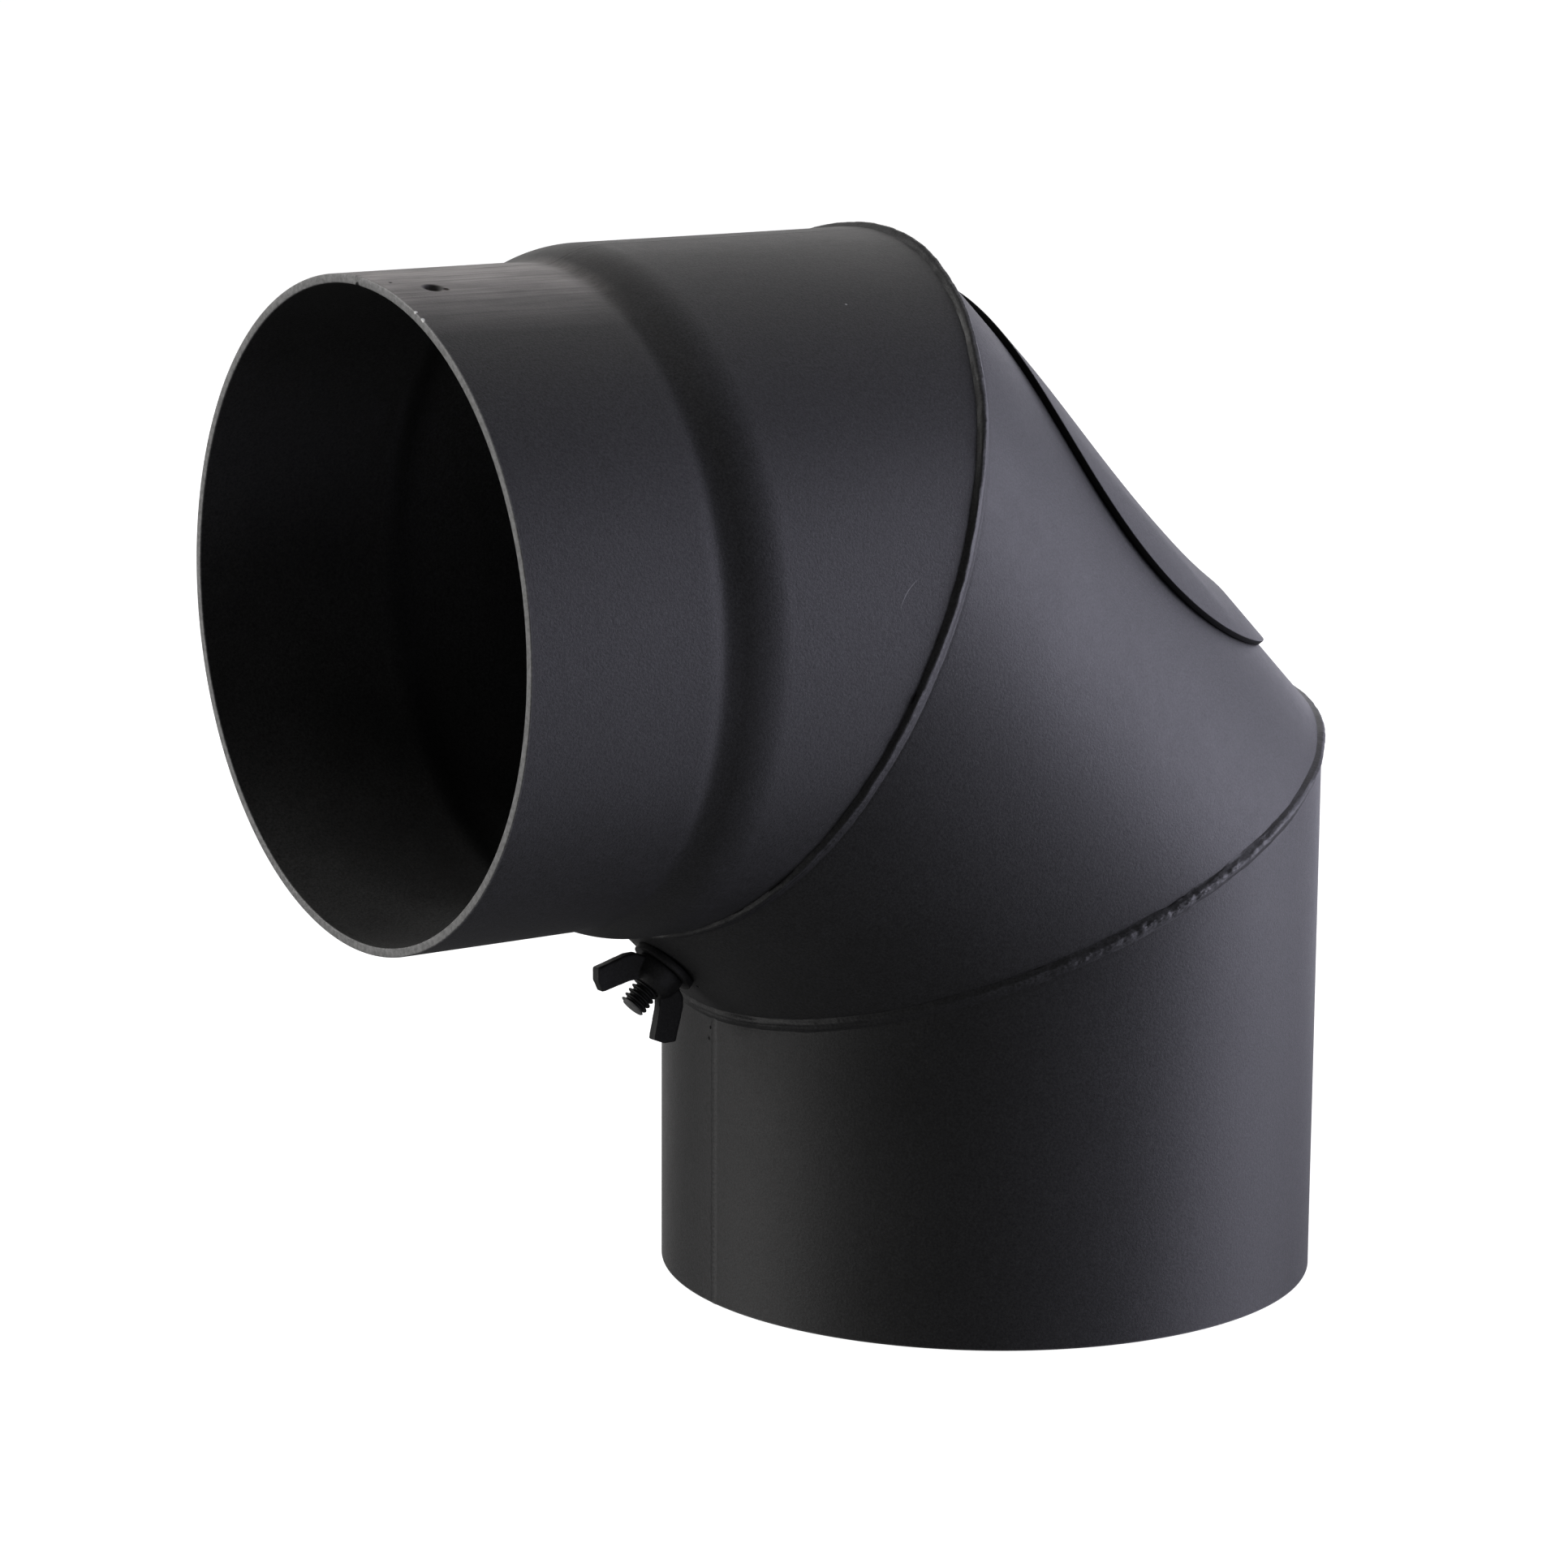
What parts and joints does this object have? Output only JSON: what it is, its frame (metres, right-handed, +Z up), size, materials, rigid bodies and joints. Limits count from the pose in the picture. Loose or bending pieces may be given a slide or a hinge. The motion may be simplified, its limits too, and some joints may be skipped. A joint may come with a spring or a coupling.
{
  "type": "flue elbow",
  "caption": "Mitred right-angle stove flue elbow in black-painted sheet steel, with a swaged spigot and an inspection door clamped by a stud and wing nut.",
  "frame": {"origin": "centre of the lower opening, in the plane of its rim", "axes": "+Z up along the vertical leg; the horizontal leg and its spigot point along -X; +Y completes the right-handed frame"},
  "size_m": [0.2469, 0.1554, 0.2469],
  "materials": {
    "pipe_paint": "matt heat-resistant paint with a fine grain",
    "weld_paint": "matt heat-resistant paint over a rippled bead",
    "door_paint": "matt heat-resistant paint",
    "hardware_paint": "satin black over steel"
  },
  "bodies": {
    "elbow": {"horizontal_section": "pipe_paint", "middle_section": "pipe_paint", "vertical_section": "pipe_paint", "upper_mitre_weld": "weld_paint", "lower_mitre_weld": "weld_paint", "horizontal_seam_weld": "weld_paint", "middle_seam_weld": "weld_paint", "vertical_seam_weld": "weld_paint"},
    "door": {"door_plate": "door_paint", "door_stud": "hardware_paint", "stud_weld": "weld_paint"},
    "washer_body": {"washer": "hardware_paint"},
    "wing_nut_body": {"wing_nut": "hardware_paint"}
  },
  "joints": [
    {"name": "door_lift", "type": "slide", "parent": "elbow", "child": "door", "axis": [0.7071, 0, 0.7071], "range_m": [0, 0.18]},
    {"name": "washer_slide", "type": "slide", "parent": "elbow", "child": "washer_body", "axis": [-0.7071, 0, -0.7071], "range_m": [0, 0.0121]},
    {"name": "nut_turn", "type": "hinge", "parent": "washer_body", "child": "wing_nut_body", "pos_m": [-0.09217, 0, 0.08057], "axis": [-0.7071, 0, -0.7071], "range_deg": [0, 3420]}
  ],
  "couplings": [
    {"joint": "washer_slide", "follows": "nut_turn", "m_per_rad": 0.00020213}
  ]
}
